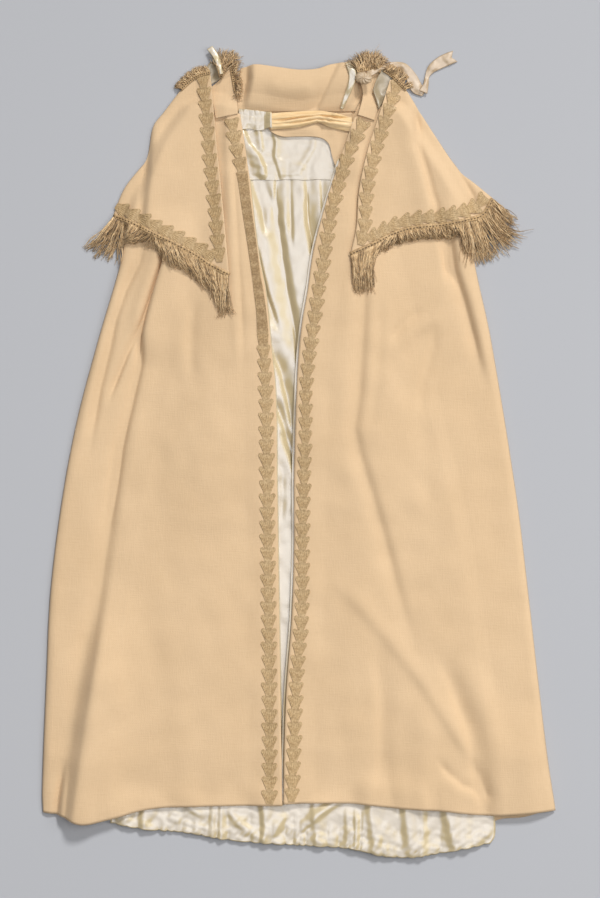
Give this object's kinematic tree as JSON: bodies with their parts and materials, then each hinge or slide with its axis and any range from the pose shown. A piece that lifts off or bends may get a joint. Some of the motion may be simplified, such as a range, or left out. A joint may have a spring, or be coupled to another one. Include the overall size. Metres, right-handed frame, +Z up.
{
  "type": "opera cloak",
  "caption": "Full-length wool opera cloak with a fringed shoulder cape, leaf braid edging and satin lining, laid flat with its fronts up.",
  "frame": {"origin": "on the surface the cloak lies on, under the middle of its outline", "axes": "+Y from the hem to the neck, +X to the right seen from above, +Z up from the surface"},
  "size_m": [0.8455, 1.3369, 0.0313],
  "materials": {
    "wool": "matte woven wool with a soft nap",
    "satin": "glossy silk satin",
    "chiffon": "thin ruched silk",
    "braid": "corded braid with a dull lustre",
    "fringe": "twisted yarn with a dull lustre",
    "ribbon": "soft satin ribbon"
  },
  "bodies": {
    "root": {"back": "wool", "front_left": "wool", "front_right": "wool", "capelet_left": "wool", "capelet_right": "wool", "capelet_back": "wool", "collar_back": "wool", "collar_front_left": "wool", "collar_front_right": "wool", "neck_facing": "wool", "lining_back": "satin", "lining_yoke": "satin", "lining_front_left": "satin", "lining_front_right": "satin", "capelet_lining_left": "satin", "capelet_lining_right": "satin", "neck_ruche_end": "satin", "neck_ruche": "chiffon", "braid_front_left": "braid", "braid_front_right": "braid", "braid_capelet_left": "braid", "braid_capelet_right": "braid", "braid_hem_left": "braid", "braid_hem_right": "braid", "fringe_hem_left": "fringe", "fringe_hem_right": "fringe", "fringe_collar_left": "fringe", "fringe_collar_right": "fringe", "fringe_neck_left": "fringe", "fringe_neck_right": "fringe", "ribbon_left": "ribbon", "ribbon_band": "ribbon", "ribbon_tail": "ribbon", "ribbon_knot": "ribbon", "ribbon_collar": "ribbon"}
  },
  "joints": []
}
